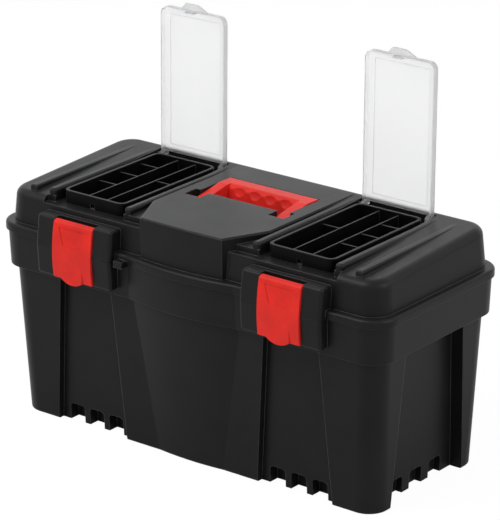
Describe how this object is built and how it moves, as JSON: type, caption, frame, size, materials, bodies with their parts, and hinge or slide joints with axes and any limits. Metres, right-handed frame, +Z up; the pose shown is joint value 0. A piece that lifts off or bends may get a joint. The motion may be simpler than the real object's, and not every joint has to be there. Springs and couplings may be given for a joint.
{
  "type": "tool box",
  "caption": "Moulded plastic tool box with a hinged lid, small-parts organizers under clear covers in the lid, a folding carry handle and swinging front latches.",
  "frame": {"origin": "on the floor under the middle of the tub's bottom", "axes": "+X along the length, -Y towards the front with the latches, +Z up"},
  "size_m": [0.597, 0.2854, 0.51],
  "materials": {
    "black_plastic": "fine moulded grain",
    "red_plastic": "satin moulded",
    "clear_plastic": "frosted, see-through",
    "steel": "drawn wire"
  },
  "bodies": {
    "base": {"body_tub": "black_plastic", "hinge_pin_left": "steel", "hinge_pin_right": "steel"},
    "lid": {"lid_shell": "black_plastic", "organizer_bin_left": "black_plastic", "organizer_bin_right": "black_plastic", "latch_pin_left": "steel", "latch_pin_right": "steel", "divider_left_1": "black_plastic", "divider_left_2": "black_plastic", "divider_left_3": "black_plastic", "divider_left_4": "black_plastic", "divider_right_1": "black_plastic", "divider_right_2": "black_plastic", "divider_right_3": "black_plastic", "divider_right_4": "black_plastic"},
    "carry_handle": {"handle": "red_plastic"},
    "cover_left": {"organizer_cover_left": "clear_plastic"},
    "cover_right": {"organizer_cover_right": "clear_plastic"},
    "front_latch_left": {"latch_left": "red_plastic"},
    "front_latch_right": {"latch_right": "red_plastic"}
  },
  "joints": [
    {"name": "lid_hinge", "type": "hinge", "parent": "base", "child": "lid", "pos_m": [0, 0.13629, 0.2462], "axis": [-1, 0, 0], "range_deg": [0, 105]},
    {"name": "handle_fold", "type": "hinge", "parent": "lid", "child": "carry_handle", "pos_m": [0, -0.012, 0.295], "axis": [1, 0, 0], "range_deg": [0, 90]},
    {"name": "cover_hinge_left", "type": "hinge", "parent": "lid", "child": "cover_left", "pos_m": [-0.16, 0.0945, 0.3025], "axis": [1, 0, 0], "range_deg": [0, 90.8]},
    {"name": "cover_hinge_right", "type": "hinge", "parent": "lid", "child": "cover_right", "pos_m": [0.16, 0.0945, 0.3025], "axis": [1, 0, 0], "range_deg": [0, 90.8]},
    {"name": "latch_swing_left", "type": "hinge", "parent": "lid", "child": "front_latch_left", "pos_m": [-0.16, -0.13299, 0.277], "axis": [-1, 0, 0], "range_deg": [0, 115]},
    {"name": "latch_swing_right", "type": "hinge", "parent": "lid", "child": "front_latch_right", "pos_m": [0.16, -0.13299, 0.277], "axis": [-1, 0, 0], "range_deg": [0, 115]}
  ]
}
